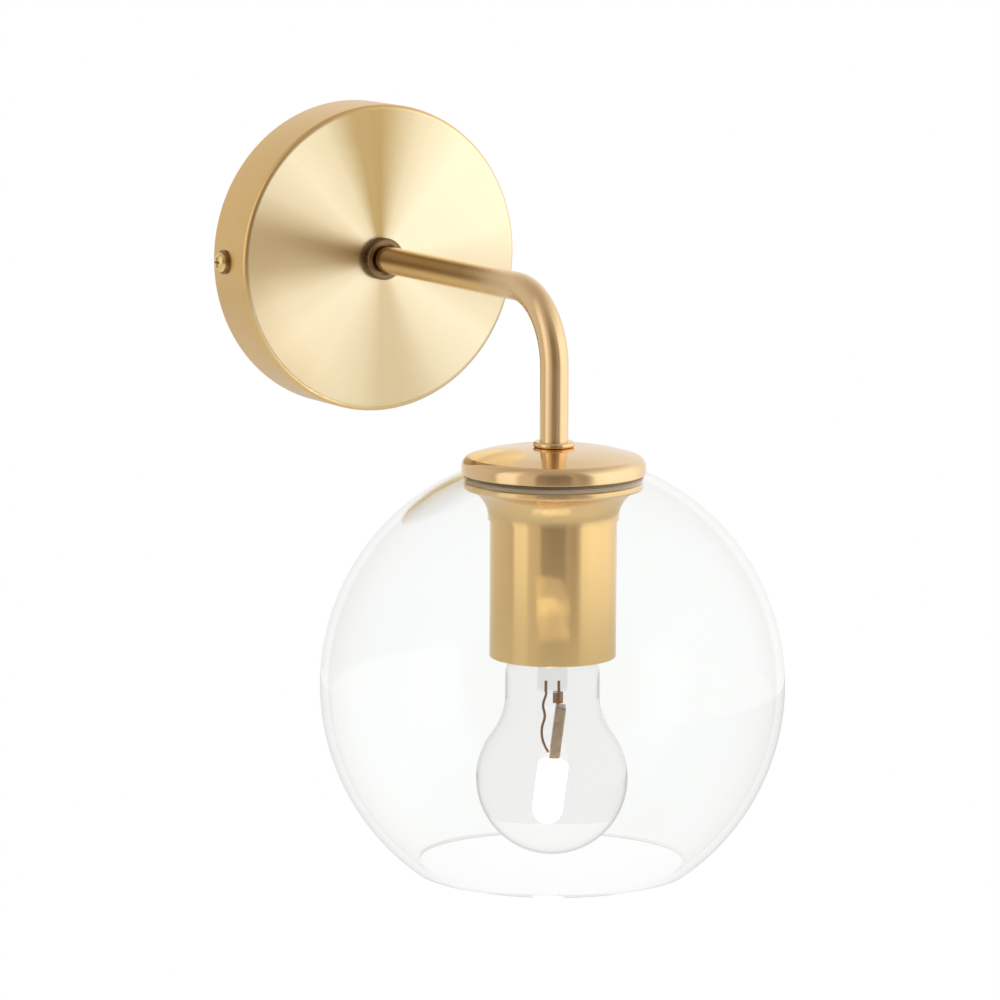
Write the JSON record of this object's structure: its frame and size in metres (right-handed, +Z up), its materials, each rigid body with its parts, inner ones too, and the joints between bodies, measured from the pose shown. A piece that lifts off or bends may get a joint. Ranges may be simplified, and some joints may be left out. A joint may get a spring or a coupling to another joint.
{
  "type": "globe wall sconce",
  "caption": "Wall light with a round brushed brass canopy, a bent tube arm, a clear glass globe open below and a screw-in lamp inside a brass socket cover.",
  "frame": {"origin": "middle of the wall bracket's rear face, on the axis of the canopy, in the wall's plane", "axes": "+Y into the wall, -Y out into the room along the arm, +Z up, +X to the right seen from the room"},
  "size_m": [0.18, 0.256, 0.2866],
  "materials": {
    "brushed_brass": "brushed, clear lacquered",
    "antique_bronze": "dark antique bronze, knurled",
    "zinc_steel": "zinc plated",
    "nickel": "nickel plated",
    "contact_brass": "plain, bright",
    "clear_glass": "clear, blown",
    "lamp_glass": "clear, thin",
    "clear_silicone": "soft, translucent",
    "black_plastic": "moulded, matt",
    "white_porcelain": "unglazed",
    "pale_nylon": "moulded nylon",
    "lead_alloy": "heat tinted",
    "tinned_copper": "tinned",
    "brown_insulation": "smooth",
    "blue_insulation": "smooth",
    "green_yellow_insulation": "smooth, striped"
  },
  "bodies": {
    "fixture": {"wall_bracket": "zinc_steel", "canopy": "brushed_brass", "canopy_screws": "brushed_brass", "canopy_screw_washers": "antique_bronze", "terminal_block": "pale_nylon", "terminal_tubes": "contact_brass", "terminal_screws": "zinc_steel", "terminal_block_screw": "zinc_steel", "earth_tag": "tinned_copper", "earth_screw": "contact_brass", "arm_lock_ring": "antique_bronze", "arm_tube": "brushed_brass", "wall_nipple": "zinc_steel", "wall_washer": "zinc_steel", "wall_nut": "zinc_steel", "collar_ring": "brushed_brass", "glass_cap": "brushed_brass", "glass_globe": "clear_glass", "glass_gasket": "clear_silicone", "centring_sleeve": "black_plastic", "gallery_flange": "brushed_brass", "socket_cover": "brushed_brass", "lower_nipple": "zinc_steel", "cover_washer": "zinc_steel", "cover_nut": "zinc_steel", "holder_dome": "black_plastic", "holder_skirt": "black_plastic", "holder_insert": "white_porcelain", "centre_contact": "contact_brass", "holder_terminals": "contact_brass", "holder_terminal_screws": "zinc_steel", "holder_shell": "nickel", "wire_live": "brown_insulation", "wire_neutral": "blue_insulation", "wire_earth": "green_yellow_insulation"},
    "lamp_carrier": {"lamp_contact": "contact_brass"},
    "lamp": {"lamp_insulator": "black_plastic", "lamp_shell": "nickel", "lamp_envelope": "lamp_glass", "lamp_stem": "lamp_glass", "lamp_capsule": "lamp_glass", "lamp_filament": "lead_alloy", "lamp_leads": "lead_alloy"}
  },
  "joints": [
    {"name": "lamp_travel", "type": "slide", "parent": "fixture", "child": "lamp_carrier", "axis": [0, 0, -1], "range_m": [0, 0.01452]},
    {"name": "lamp_turn", "type": "hinge", "parent": "lamp_carrier", "child": "lamp", "pos_m": [0, -0.166, -0.1145], "axis": [0, 0, -1], "range_deg": [0, 1440]}
  ],
  "couplings": [
    {"joint": "lamp_turn", "follows": "lamp_travel", "rad_per_m": 1731.4}
  ]
}
